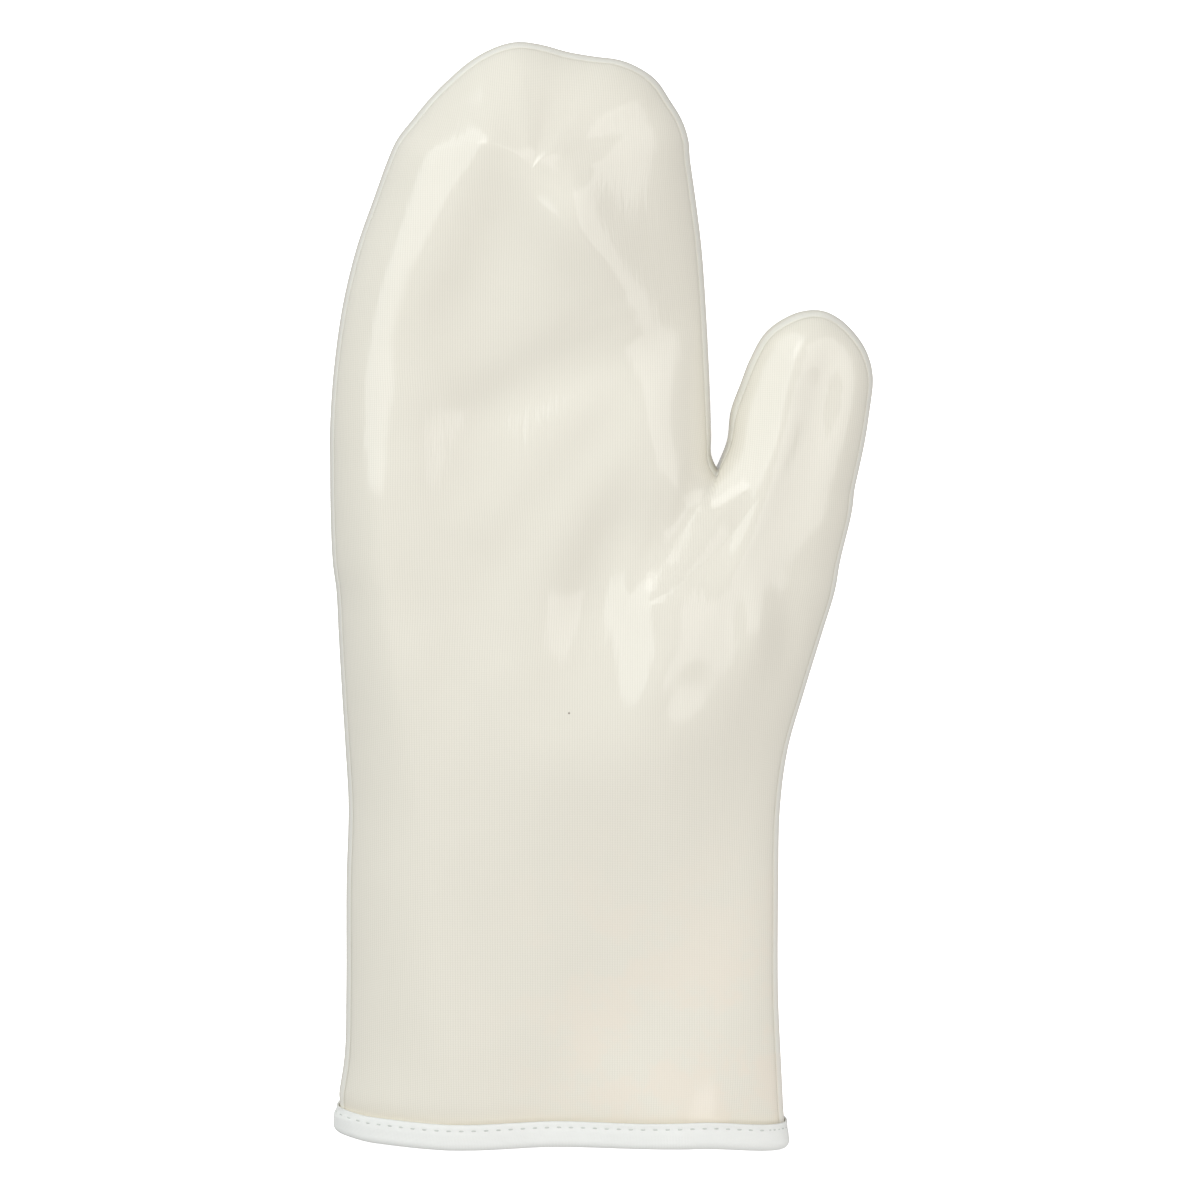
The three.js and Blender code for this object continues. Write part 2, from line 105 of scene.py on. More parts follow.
# Edges of the cuff and the lower hand: up as a share of the crotch height, left and right of half the cuff
CUFF_SECTIONS = np.array([
    (0.0, 1.076, 1.03),
    (0.03, 1.071, 1.02),
    (0.108, 1.035, 1.005),
    (0.211, 1.025, 0.989),
    (0.374, 1.02, 0.988),
    (0.492, 1.008, 0.995),
    (0.58, 1.02, 1.03),
    (0.669, 1.035, 1.107),
    (0.758, 1.048, 1.19),
    (0.817, 1.056, 1.244),
    (0.861, 1.072, 1.267),
    (0.935, 1.08, 1.32),
])
JUNCTION_ROW = 9
TAPE_TOP_ROW = 1

# Edges of the hand above the crotch, as shares: up of the finger length, left and right of half the width
HAND_SECTIONS = np.array([
    (0.03, 1.015, 0.982),
    (0.08, 1.015, 0.98),
    (0.218, 0.995, 0.969),
    (0.38, 0.945, 0.95),
    (0.52, 0.869, 0.927),
    (0.636, 0.778, 0.895),
    (0.729, 0.702, 0.866),
])
# Over the fingertips, from the little finger's side to the thumb's: up and across
FINGERTIP_ARC = np.array([
    (0.775, -0.655),
    (0.822, -0.574),
    (0.87, -0.486),
    (0.916, -0.385),
    (0.962, -0.262),
    (0.991, -0.14),
    (1.003, -0.03),
    (0.996, 0.1),
    (0.98, 0.229),
    (0.969, 0.37),
    (0.961, 0.5),
    (0.943, 0.6),
    (0.914, 0.69),
    (0.868, 0.76),
    (0.822, 0.822),
    (0.775, 0.857),
])
FINGERTIP_PEAK = 6

# Edges of the thumb in its own leaning frame: up as a share of its length, left and right of half its width
THUMB_SECTIONS = np.array([
    (0.06, 0.99, 1.0),
    (0.17, 0.965, 0.995),
    (0.33, 1.01, 0.985),
    (0.5, 0.96, 0.95),
])
THUMB_TIP_ARC = np.array([
    (0.63, -0.915),
    (0.8, -0.79),
    (0.9, -0.59),
    (0.97, -0.34),
    (1.0, -0.06),
    (0.98, 0.2),
    (0.92, 0.47),
    (0.83, 0.71),
    (0.7, 0.88),
])
THUMB_TIP_PEAK = 4

# How the hem lies: across as a share of half the cuff, and its lift as a share of the crotch height
HEM_LINE = np.array([
    (-1.08, 0.003),
    (-0.9, -0.001),
    (-0.5, -0.003),
    (0.0, -0.001),
    (0.6, 0.0015),
    (1.04, -0.012),
])

# Places on the edge, at the ends of the stretches: its height, and how far the palm and the back reach in
# before they level off, all as shares of the mitt's height
EDGE_PLACES = np.array([
    (0.44, 0.8, 0.46),  # hem, little finger's side
    (0.44, 0.8, 0.46),  # top of the tape
    (0.42, 0.4, 0.5),  # junction
    (0.38, 0.31, 0.5),  # start of the fingertips
    (0.36, 0.8, 0.46),  # highest fingertip
    (0.38, 0.8, 0.5),  # end of the fingertips
    (0.44, 0.3, 0.3),  # crotch
    (0.42, 0.36, 0.36),  # start of the thumb tip
    (0.41, 0.36, 0.36),  # thumb tip
    (0.42, 0.36, 0.38),  # end of the thumb tip
    (0.46, 0.88, 0.6),  # junction, thumb side
    (0.62, 0.7, 0.9),  # top of the tape, thumb side
    (0.64, 0.7, 0.9),  # hem, thumb side
])

# Middle lines: across and up in their section tables' shares, then the heights of the palm and of the back
# there, as shares of the mitt's height
HEM_MIDDLE = (-0.1, 0.0, 0.91, -0.1)
JUNCTION = (0.31, 0.805, 0.96, -0.14)
HAND_MIDDLE = (0.04, 0.7, 0.91, -0.1)
THUMB_BEND = (-0.3, -0.42, 0.9, -0.06)
THUMB_MIDDLE = (0.02, 0.6, 0.76, 0.08)

# Folds and swells of the palm, as shares of the mitt's length: x and y from the hem's centre, half length,
# half width, turn in degrees, and the height as a share of the mitt's height
FOLDS = np.array([
    (0.032, 0.537, 0.064, 0.03, 70, -0.11),  # hollow beside the ball of the thumb
    (0.128, 0.603, 0.081, 0.018, 57, -0.053),  # fold from the crotch
    (0.209, 0.386, 0.2, 0.07, 23, 0.067),  # swell of the wrist
    (-0.085, 0.74, 0.164, 0.046, -85, -0.049),  # hollow of the fingers
    (0.012, 0.846, 0.108, 0.041, -50, 0.109),  # ridge to the fingertips
    (0.045, 0.72, 0.186, 0.026, 21, -0.052),  # finger crease
    (-0.11, 0.838, 0.036, 0.096, -23, 0.11),  # swell of the little fingertip
    (0.039, 0.928, 0.086, 0.046, 29, -0.105),  # hollow of the fingertips
    (0.177, 0.471, 0.041, 0.019, -86, 0.084),  # ridge at the root of the thumb
    (0.209, 0.621, 0.082, 0.045, 86, 0.105),  # swell of the thumb
    (0.223, 0.629, 0.199, 0.03, 80, -0.1),  # hollow along the thumb
    (-0.115, 0.234, 0.198, 0.049, -70, -0.074),  # cuff hollow, little finger's side
    (0.003, 0.073, 0.155, 0.048, 79, -0.055),  # cuff hollow, middle
    (-0.132, 0.3, 0.198, 0.053, -82, 0.11),  # cuff swell, little finger's side
    (0.019, 0.639, 0.143, 0.024, 52, -0.042),  # palm crease
    (0.071, 0.833, 0.049, 0.1, 28, -0.075),  # hollow below the fingertips
    (0.126, 0.833, 0.175, 0.055, -28, 0.11),  # swell of the first finger
    (0.075, 0.501, 0.093, 0.035, -43, 0.059),  # bridge over the palm
    (-0.042, 0.671, 0.196, 0.046, 44, -0.063),  # hollow below the finger crease
    (0.06, 0.517, 0.131, 0.034, 56, -0.062),  # long hollow from the crotch
    (0.093, 0.38, 0.066, 0.04, 38, 0.048),  # lower ball of the thumb
    (-0.022, 0.385, 0.095, 0.074, -62, 0.088),  # heel of the hand
    (-0.162, 0.581, 0.12, 0.059, 80, 0.092),  # edge of the hand
    (0.092, 0.138, 0.2, 0.064, 62, -0.072),  # cuff hollow, thumb's side
    (0.098, 0.007, 0.112, 0.044, -40, 0.069),  # hem swell, thumb's side
    (0.081, 0.428, 0.04, 0.023, 69, 0.062),  # ball of the thumb
])
# Smaller ones, at most 2 mm high, with the same columns
FINE_FOLDS = np.array([
    (-0.189, 0.673, 0.13, 0.033, 82, -0.039),  # hollow along the little finger's edge
    (-0.124, 0.807, 0.057, 0.016, 55, -0.009),  # hollow of the little finger
    (-0.111, 0.451, 0.075, 0.02, 112, -0.025),  # hollow at the heel of the hand
    (-0.122, 0.463, 0.063, 0.026, 58, 0.023),  # swell at the heel of the hand
    (0.039, 0.378, 0.132, 0.035, 16, 0.013),  # swell across the wrist
    (0.151, 0.441, 0.056, 0.009, 52, 0.001),  # line below the ball of the thumb
    (0.186, 0.621, 0.143, 0.035, 64, -0.039),  # hollow at the root of the thumb
    (0.207, 0.463, 0.036, 0.014, 90, -0.038),  # crease below the thumb
    (0.018, 0.744, 0.062, 0.013, 28, -0.03),  # bottom of the finger crease
    (-0.043, 0.665, 0.047, 0.017, 41, 0.009),  # swell below the finger crease
    (0.071, 0.533, 0.096, 0.009, 74, -0.009),  # crease beside the ball of the thumb
    (0.178, 0.59, 0.077, 0.011, 68, 0.028),  # ridge along the thumb
    (0.224, 0.635, 0.153, 0.035, 67, -0.039),  # outer side of the thumb
    (0.024, 0.748, 0.055, 0.01, 28, 0.021),  # ridge beside the finger crease
    (-0.072, 0.925, 0.026, 0.019, 72, 0.032),  # swell of the highest fingertip
    (0.134, 0.684, 0.139, 0.011, 76, -0.019),  # hollow beside the crotch
    (0.187, 0.698, 0.083, 0.011, 75, -0.03),  # hollow of the thumb's inner side
    (0.12, 0.811, 0.132, 0.034, 81, -0.038),  # hollow of the first finger
    (0.068, 0.449, 0.132, 0.035, 10, 0.013),  # swell over the ball of the thumb
    (-0.096, 0.574, 0.039, 0.023, -10, 0.012),  # swell of the outer palm
    (0.016, 0.868, 0.096, 0.022, 63, 0.019),  # ridge of the middle fingers
    (0.095, 0.904, 0.069, 0.011, 87, 0.009),  # ridge of the first fingertip
    (-0.125, 0.571, 0.124, 0.015, 99, 0.01),  # ridge along the outer palm
    (0.025, 0.413, 0.071, 0.014, -44, 0.007),  # arc under the ball of the thumb
    (0.163, 0.432, 0.05, 0.016, 66, 0.011),  # arc beside the ball of the thumb
])


def smooth(t):
    """Three t squared less two t cubed: from 0 to 1 with level ends."""
    return t * t * (3 - 2 * t)


def mix(a, b, t):
    """From a at t = 0 to b at t = 1, in a straight line."""
    return a + (b - a) * t


def unit(vectors):
    """Each vector divided by its length."""
    return vectors / np.maximum(np.linalg.norm(vectors, axis=-1, keepdims=True), 1e-12)


# Places in the plane of the table

def cuff_point(across, up):
    """Shares of half the cuff and of the crotch height, from the hem's centre."""
    return np.stack([across * CUFF_WIDTH / 2, up * CROTCH_HEIGHT], -1)


def hand_point(across, up):
    """Shares of half the finger width and of the finger length, above the crotch."""
    return np.stack([across * FINGER_WIDTH / 2 - FINGER_SHIFT, CROTCH_HEIGHT + up * FINGER_LENGTH], -1)


def thumb_point(across, up):
    """Shares of half the thumb's width and of its length, leaning away from the fingers at the crotch."""
    x = (1 + across) * THUMB_WIDTH / 2
    y = up * THUMB_LENGTH
    c, s = math.cos(THUMB_LEAN), math.sin(THUMB_LEAN)
    return np.stack([CROTCH_ACROSS + c * x + s * y, CROTCH_HEIGHT - s * x + c * y], -1)


def outline_stretches():
    """The outline's points as stretches between the places in EDGE_PLACES."""
    left = cuff_point(-CUFF_SECTIONS[:, 1], CUFF_SECTIONS[:, 0])
    right = cuff_point(CUFF_SECTIONS[:, 2], CUFF_SECTIONS[:, 0])
    left[TAPE_TOP_ROW, 1] = right[TAPE_TOP_ROW, 1] = TAPE_WIDTH
    right = right[::-1]
    hand_left = hand_point(-HAND_SECTIONS[:, 1], HAND_SECTIONS[:, 0])
    hand_right = hand_point(HAND_SECTIONS[:, 2], HAND_SECTIONS[:, 0])[::-1]
    tips = hand_point(FINGERTIP_ARC[:, 1], FINGERTIP_ARC[:, 0])
    thumb_left = thumb_point(-THUMB_SECTIONS[:, 1], THUMB_SECTIONS[:, 0])
    thumb_right = thumb_point(THUMB_SECTIONS[:, 2], THUMB_SECTIONS[:, 0])[::-1]
    thumb_tips = thumb_point(THUMB_TIP_ARC[:, 1], THUMB_TIP_ARC[:, 0])
    crotch = np.array([[CROTCH_ACROSS, CROTCH_HEIGHT]])
    row = len(right) - 1 - JUNCTION_ROW
    top = TAPE_TOP_ROW
    return [
        left[:top + 1],
        left[top:JUNCTION_ROW + 1],
        np.vstack([left[JUNCTION_ROW:], hand_left]),
        np.vstack([hand_left[-1:], tips[:FINGERTIP_PEAK + 1]]),
        np.vstack([tips[FINGERTIP_PEAK:], hand_right[:1]]),
        np.vstack([hand_right, crotch]),
        np.vstack([crotch, thumb_left]),
        np.vstack([thumb_left[-1:], thumb_tips[:THUMB_TIP_PEAK + 1]]),
        np.vstack([thumb_tips[THUMB_TIP_PEAK:], thumb_right[:1]]),
        np.vstack([thumb_right, right[:row + 1]]),
        right[row:len(right) - top],
        right[len(right) - top - 1:],
    ]


def smooth_line(points, at):
    """A centripetal Catmull-Rom curve at span numbers: each span is a cubic, and its end slopes come from
    the neighbouring points, with knots spaced by the square root of the points' distances."""
    ends = np.vstack([2 * points[0] - points[1], points, 2 * points[-1] - points[-2]])
    knots = np.linalg.norm(np.diff(ends, axis=0), axis=1) ** 0.5
    span = np.clip(np.floor(at).astype(int), 0, len(points) - 2)
    w = (at - span)[:, None]
    a, b, c, d = (ends[span + k] for k in range(4))
    before, own, after = (knots[span + k][:, None] for k in range(3))
    start = ((b - a) / before - (c - a) / (before + own) + (c - b) / own) * own
    finish = ((c - b) / own - (d - b) / (own + after) + (d - c) / after) * own
    square = (3 * (c - b) - 2 * start - finish) * w ** 2
    cube = (2 * (b - c) + start + finish) * w ** 3
    return b + start * w + square + cube


def even(t):
    return t


def towards_end(t):
    return 1 - (1 - t) ** 1.5


def towards_start(t):
    return t ** 2


def middle_lines():
    """One function for each stretch, from its share t to the middle line's x, y, palm height and back
    height."""
    def place(point, row):
        across, up, crown, floor_height = row
        return np.array([*point(across, up), crown * MITT_HEIGHT, floor_height * MITT_HEIGHT])

    hem, junction = place(cuff_point, HEM_MIDDLE), place(cuff_point, JUNCTION)
    hand = place(hand_point, HAND_MIDDLE)
    bend, thumb = place(thumb_point, THUMB_BEND), place(thumb_point, THUMB_MIDDLE)

    def between(a, b):
        def line(t):
            t = t[:, None]
            return np.hstack([mix(a[:2], b[:2], t), mix(a[2:], b[2:], smooth(t))])
        return line

    tape = between(hem, junction)(np.array([TAPE_WIDTH / junction[1]]))[0]

    def along_thumb(t):
        u = t[:, None]
        bent = (1 - u) ** 2 * junction[:2] + 2 * u * (1 - u) * bend[:2] + u * u * thumb[:2]
        return np.hstack([bent, mix(junction[2:], thumb[2:], smooth(u))])

    def back(line):
        return lambda t: line(1 - t)

    def stay(at):
        return lambda t: np.tile(at, (len(t), 1))

    along_tape, along_cuff, along_hand = between(hem, tape), between(tape, junction), between(junction, hand)
    return [
        along_tape, along_cuff, along_hand, stay(hand), stay(hand), back(along_hand),
        along_thumb, stay(thumb), stay(thumb), back(along_thumb), back(along_cuff), back(along_tape),
    ]


def middle_numbers():
    """For each spoke, the number of its point on the middle lines. Both sides of a line share its points,
    so stretches that face each other across one have the same number of steps."""
    tape, cuff, hand_run = STRETCH_STEPS[:3]
    thumb_run = STRETCH_STEPS[6]
    junction = tape + cuff
    hand_end = junction + hand_run
    up_thumb = np.concatenate([[junction], np.arange(hand_end + 1, hand_end + thumb_run + 1)])
    runs = [
        np.arange(hand_end + 1),
        np.full(STRETCH_STEPS[3] + STRETCH_STEPS[4], hand_end),
        np.arange(hand_end - 1, junction - 1, -1),
        up_thumb[1:],
        np.full(STRETCH_STEPS[7] + STRETCH_STEPS[8], up_thumb[-1]),
        up_thumb[-2::-1],
        np.arange(junction - 1, -1, -1),
    ]
    return np.concatenate(runs)


def make_spokes():
    """Feet on the outline, evenly walked or crowded towards the crotch, with their middle points and their
    edge height and shoulders, which pass smoothly from place to place."""
    stretches = outline_stretches()
    spacings = [even] * 12
    spacings[5], spacings[6] = towards_end, towards_start
    points = np.vstack([stretches[0][:1]] + [s[1:] for s in stretches])
    first = 0
    rows = []
    for number, (stretch, steps, line) in enumerate(zip(stretches, STRETCH_STEPS, middle_lines())):
        spans = len(stretch) - 1
        curve = smooth_line(points, first + np.linspace(0, spans, spans * 40 + 1))
        walked = np.concatenate([[0], np.cumsum(np.linalg.norm(np.diff(curve, axis=0), axis=1))])
        t = np.linspace(0, 1, steps + 1)[(1 if number else 0):]
        goal = spacings[number](t) * walked[-1]
        foot = np.stack([np.interp(goal, walked, curve[:, axis]) for axis in (0, 1)], -1)
        place = mix(EDGE_PLACES[number], EDGE_PLACES[number + 1], smooth(t)[:, None]) * MITT_HEIGHT
        rows.append(np.hstack([foot, line(t), place]))
        first += spans
    return np.vstack(rows)


def fold_height(x, y):
    """The sum of the folds. Each is its height times e to the minus of two squares: of the distance along
    it by its half length, and of the distance across it by its half width."""
    total = np.zeros_like(x)
    for fold_x, fold_y, long, wide, turn, height in np.vstack([FOLDS, FINE_FOLDS]):
        angle = math.radians(turn)
        dx, dy = x / MITT_LENGTH - fold_x, y / MITT_LENGTH - fold_y
        along = math.cos(angle) * dx + math.sin(angle) * dy
        aside = math.cos(angle) * dy - math.sin(angle) * dx
        total += height * MITT_HEIGHT * np.exp(-(along / long) ** 2 - (aside / wide) ** 2)
    return total


def hem_lift(x, y):
    """The hem line's lift at x, smooth from row to row, dying away with the height over the tape."""
    across = np.clip(x / (CUFF_WIDTH / 2), HEM_LINE[0, 0], HEM_LINE[-1, 0])
    row = np.clip(np.searchsorted(HEM_LINE[:, 0], across), 1, len(HEM_LINE) - 1)
    a, b = HEM_LINE[row - 1], HEM_LINE[row]
    up = mix(a[..., 1], b[..., 1], smooth((across - a[..., 0]) / (b[..., 0] - a[..., 0])))
    return up * CROTCH_HEIGHT * (1 - smooth(np.clip((y - TAPE_WIDTH) / (HEM_REACH * CROTCH_HEIGHT), 0, 1)))


def pinch_depth(x, y, z):
    """How far the tape's stitches press the cloth in: most at the tape's top on the little finger's side,
    less towards the thumb's side and close to the table, and dying away below and above the tape's top."""
    across = smooth(np.clip(0.5 - x / CUFF_WIDTH, 0, 1))
    above_table = smooth(np.clip(z / (0.3 * MITT_HEIGHT), 0, 1))
    from_top = np.maximum((y - TAPE_WIDTH) / PINCH_REACH, (TAPE_WIDTH - y) / PINCH_BELOW)
    return TAPE_PINCH * across * above_table * (1 - smooth(np.clip(from_top, 0, 1)))


def risen(distance, shoulder, length, fullness):
    """A full round shoulder, mixed with a slow camber. The shoulder is the root of one less the power of
    what is left. The camber is the root of the distance times one less the square of what is left."""
    part = np.clip(distance / shoulder, 0, 1)
    left = 1 - np.clip(distance / length, 0, 1)
    return mix(np.sqrt(1 - (1 - part) ** fullness), np.sqrt(part) * (1 - left ** 2), CAMBER)


def pressed(height, y):
    """The lower surface pressed on the table: flat where it would reach below, with a short round meeting.
    The table counts as higher by the tape's thickness near the hem, where the tape goes under the back."""
    near_hem = np.clip((TAPE_RISE + 1) / TAPE_RISE - y / (TAPE_RISE * TAPE_WIDTH), 0, 1)
    table = (TAPE_THICKNESS + TAPE_CLEARANCE) * smooth(near_hem)
    meeting = 0.06 * MITT_HEIGHT
    above = np.clip(height - table, -meeting, meeting)
    return np.where(height - table >= meeting, height, table + (above + meeting) ** 2 / (4 * meeting))


def skin(spokes, distance, on_palm):
    """Points of the palm's or the back's outer face at distances in from the outline, along each spoke. The
    height is the edge's, mixed with the middle's by the rise. The palm's adds its folds times the square of
    the rise, and the back's is pressed on the table."""
    foot, middle = spokes[:, None, 0:2], spokes[:, None, 2:4]
    length = np.linalg.norm(middle - foot, axis=2)
    place = mix(foot, middle, (distance / length)[..., None])
    x, y = place[..., 0], place[..., 1]
    palm_middle, back_middle, edge, palm_shoulder, back_shoulder = (spokes[:, None, k] for k in range(4, 9))
    if on_palm:
        rise = risen(distance, palm_shoulder, length, PALM_FULLNESS)
        z = mix(edge, palm_middle, rise) + fold_height(x, y) * rise ** 2
    else:
        rise = risen(distance, back_shoulder, length, BACK_FULLNESS)
        z = pressed(mix(edge, back_middle, rise), y)
    return np.stack([x, y + hem_lift(x, y), z], -1)


def ring_distances(spokes):
    """Distances of the rings: over the strip outside the seam they grow as the power EDGE_POWER, and from
    there to the middle line as one less the cosine, so that they crowd at the steep edge."""
    length = np.linalg.norm(spokes[:, 2:4] - spokes[:, 0:2], axis=1)[:, None]
    edge = SEAM_INSET * (np.arange(EDGE_RINGS)[None, :] / EDGE_RINGS) ** EDGE_POWER
    share = 1 - np.cos(np.linspace(0, np.pi / 2, INNER_RINGS + 1))[None, :]
    return np.hstack([edge + 0 * length, mix(SEAM_INSET, length, share)])


def skin_numbers(spoke_count):
    """Point numbers of the palm's and the back's grids. The outline and the middle points are shared."""
    rings = EDGE_RINGS + INNER_RINGS
    middles = middle_numbers()
    inner = spoke_count * (rings - 1)
    outline = np.arange(spoke_count)
    grids = []
    for side in range(2):
        start = spoke_count + side * (inner + middles.max() + 1)
        body = start + np.arange(inner).reshape(spoke_count, rings - 1)
        grids.append(np.hstack([outline[:, None], body, (start + inner + middles)[:, None]]))
    return grids


def quads(grid, turned=False, closed=False):
    """Four-sided faces between the neighbours of a grid of point numbers, turned over if asked, and closed
    between its last row and its first if asked."""
    rows = np.vstack([grid, grid[:1]]) if closed else grid
    faces = np.stack([rows[:-1, :-1], rows[1:, :-1], rows[1:, 1:], rows[:-1, 1:]], -1).reshape(-1, 4)
    return faces[:, ::-1] if turned else faces


def point_normals(points, faces):
    """The unit sum, at each point, of the cross products of its faces' diagonals."""
    corner = points[faces]
    cross = np.cross(corner[:, 2] - corner[:, 0], corner[:, 3] - corner[:, 1])
    total = np.zeros_like(points)
    for column in range(4):
        np.add.at(total, faces[:, column], cross)
    return unit(total)


def make_piece(name, points, faces, materials, face_material=None, maps=None):
    """A smooth mesh from points and four-sided faces, riding on the body. A corner that repeats the one
    before it is left out, which makes a triangle of that face."""
    real = faces != np.roll(faces, 1, axis=1)
    keep = real.sum(axis=1) > 2
    faces, real = faces[keep], real[keep]
    corners = faces[real]
    totals = real.sum(axis=1)
    mesh = bpy.data.meshes.new(name)
    mesh.vertices.add(len(points))
    mesh.vertices.foreach_set("co", points.ravel())
    mesh.loops.add(len(corners))
    mesh.loops.foreach_set("vertex_index", corners.astype(np.int32))
    mesh.polygons.add(len(faces))
    mesh.polygons.foreach_set("loop_start", (np.cumsum(totals) - totals).astype(np.int32))
    for material in materials:
        mesh.materials.append(material)
    if face_material is not None:
        mesh.polygons.foreach_set("material_index", face_material[keep].astype(np.int32))
    for map_name, at in (maps or {}).items():
        mesh.uv_layers.new(name=map_name).data.foreach_set("uv", at[corners].ravel())
    mesh.update(calc_edges=True)
    mesh.validate()
    mesh.shade_smooth()
    piece = bpy.data.objects.new(name, mesh)
    bpy.context.scene.collection.objects.link(piece)
    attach(piece, "root")
    return piece


def open_edges(faces):
    """Edges that only one face has, in that face's direction."""
    start, end = faces.ravel(), np.roll(faces, -1, axis=1).ravel()
    real = start != end
    start, end = start[real], end[real]
    base = faces.max() + 1
    lone = ~np.isin(start * base + end, end * base + start)
    return np.stack([start[lone], end[lone]], -1)


def make_panel(name, faces, points, normals, maps):
    """A panel with its wall: its outer faces, the same faces one wall further in, and the cut edges
    between."""
    used, local = np.unique(faces, return_inverse=True)
    local = local.reshape(faces.shape)
    outer = points[used]
    inner = outer - normals[used] * WALL
    count = len(used)
    edges = open_edges(local)
    sides = np.stack([edges[:, 1], edges[:, 0], edges[:, 0] + count, edges[:, 1] + count], -1)
    every = np.vstack([local, local[:, ::-1] + count, sides])
    face_material = np.where(np.arange(len(every)) < len(local), 0, 1)
    both = {key: np.tile(at[used], (2, 1)) for key, at in maps.items()}
    return make_piece(name, np.vstack([outer, inner]), every, [coated_knit, bare_knit], face_material, both)


# Materials

class Value:
    """A socket in a material. Sums and products of values add the Math nodes that work them out."""

    def __init__(self, finish, socket):
        self.finish = finish
        self.socket = socket

    def maths(self, operation, *given):
        """The result of one Math node."""
        inputs = dict(enumerate(given))
        return self.finish.node("Math", {"operation": operation}, inputs)

    def __add__(self, other):
        return self.maths("ADD", self, other)

    def __sub__(self, other):
        return self.maths("SUBTRACT", self, other)

    def __rsub__(self, other):
        return self.maths("SUBTRACT", other, self)

    def __mul__(self, other):
        return self.maths("MULTIPLY", self, other)

    def __truediv__(self, other):
        return self.maths("DIVIDE", self, other)

    def __abs__(self):
        return self.maths("ABSOLUTE", self)

    def sine(self):
        return self.maths("SINE", self)

    def exp(self):
        return self.maths("EXPONENT", self)

    def step(self, low, high):
        """From 0 at low to 1 at high, with level ends."""
        settings = {"interpolation_type": "SMOOTHSTEP"}
        return self.finish.node("MapRange", settings, {"Value": self, "From Min": low, "From Max": high})


class Finish:
    """A material made of nodes, with one Principled surface."""

    def __init__(self, name, **fixed):
        self.material = bpy.data.materials.new(name)
        self.material.use_nodes = True
        self.tree = self.material.node_tree
        self.tree.nodes.clear()
        self.surface = self.tree.nodes.new("ShaderNodeBsdfPrincipled")
        output = self.tree.nodes.new("ShaderNodeOutputMaterial")
        self.tree.links.new(self.surface.outputs[0], output.inputs["Surface"])
        self.shade(**fixed)

    def node(self, kind, settings=None, inputs=None, output=0):
        """A node of a kind: its settings first, then the numbers, colours or links of its inputs."""
        made = self.tree.nodes.new("ShaderNode" + kind)
        for key, setting in (settings or {}).items():
            setattr(made, key, setting)
        for key, given in (inputs or {}).items():
            self.feed(made.inputs[key], given)
        return Value(self, made.outputs[output])

    def feed(self, socket, given):
        """Links a value to the socket, or sets the socket to a number or a colour."""
        if isinstance(given, Value):
            self.tree.links.new(given.socket, socket)
        else:
            socket.default_value = given

    def across_along(self, map_name):
        """The two coordinates of a map of the piece, in metres."""
        return self.parts(self.node("UVMap", {"uv_map": map_name}))[:2]

    def parts(self, vector):
        """The three coordinates of a vector."""
        apart = self.tree.nodes.new("ShaderNodeSeparateXYZ")
        self.feed(apart.inputs[0], vector)
        return [Value(self, output) for output in apart.outputs]

    def pair(self, first, second):
        """A vector from two values."""
        return self.node("CombineXYZ", {}, {"X": first, "Y": second})

    def noise(self, vector, scale, detail=2.0, roughness=0.5):
        """Soft random clouds from 0 to 1, at a number of cells for each unit of the vector."""
        inputs = {"Vector": vector, "Scale": scale, "Detail": detail, "Roughness": roughness}
        return self.node("TexNoise", {}, inputs)

    def place(self):
        """The place in the piece's own coordinates, in metres."""
        return self.node("TexCoord", {}, {}, "Object")

    def blend(self, share, first, second):
        """A colour from first to second as the share goes from 0 to 1."""
        return self.node("Mix", {"data_type": "RGBA"}, {"Factor": share, 6: first, 7: second}, 2)

    def bump(self, height, distance):
        """A normal from heights, where 1 is the distance, in metres."""
        return self.node("Bump", {}, {"Height": height, "Distance": distance})

    def shade(self, **values):
        """Feeds the surface's sockets, named with underscores for spaces, and gives the material."""
        for socket, given in values.items():
            self.feed(self.surface.inputs[socket.replace("_", " ")], given)
        return self.material


def srgb(red, green, blue):
    """A colour from its 0 to 255 screen values, as linear light."""
    shares = np.array([red, green, blue]) / 255
    light = np.where(shares <= 0.04045, shares / 12.92, ((shares + 0.055) / 1.055) ** 2.4)
    return (*light.tolist(), 1.0)


# The knit's pitches across and along the hand, and the colours
WALE_PITCH = 0.85 * MM
COURSE_PITCH = 0.62 * MM
KNIT_LIGHT = srgb(238, 234, 222)
KNIT_SHADE = srgb(224, 220, 207)
# The next three colours are painted light and shade: a warm sheen, shade above the tape, and light on the
# strip outside the seam
PAINTED_WARM_SHEEN = srgb(238, 227, 212)
PAINTED_PEACH_SHADE = srgb(231, 221, 199)
STRIP_PAINTED_LIGHT = srgb(244, 246, 243)
SEAM_SHADE = srgb(188, 184, 166)
SPECK = srgb(140, 130, 116)
SPECK_PLACE = (-10.4 * MM, -34.2 * MM)
SPECK_RADIUS = 0.34 * MM
# Streaks in the film, along the hand
STREAK_WIDTH = 1.8 * MM
STREAK_LENGTH = 14 * MM
# Sizes of the random clouds, in cells for each metre
TONE_CLOUDS = 22.0
PATCH_CLOUDS = 45.0
TAPE_CLOUDS = 60.0
THREAD_CLOUDS = 900.0
PAPER_CLOUDS = 3.0
# Heights of the bumps
FILM_BUMP = 0.02 * MM
KNIT_BUMP = 0.15 * MM
TAPE_BUMP = 0.03 * MM
# Pitches of the tape's ribs, round the cuff and up
RIB_PITCH = 0.5 * MM
WEFT_PITCH = 0.45 * MM
# Where the painted warm sheen of the lower cuff fades out upwards, and fades in towards the thumb's side
PATCH_TOP = (30 * MM, 130 * MM)
PATCH_SIDE = (-40 * MM, 20 * MM)
# How far the painted peach shade reaches above the tape, and the painted shade line of the seam to both sides
PEACH_SHADE_REACH = 2.2 * MM
SEAM_LINE = 0.4 * MM
# The strip that turns up outside the seam is painted paler, as if lit from the table: the painted light fades
# in beyond the seam, and out again towards the back
STRIP_START = (0.2 * MM, 0.9 * MM)
STRIP_END = (-4.5 * MM, -2.2 * MM)


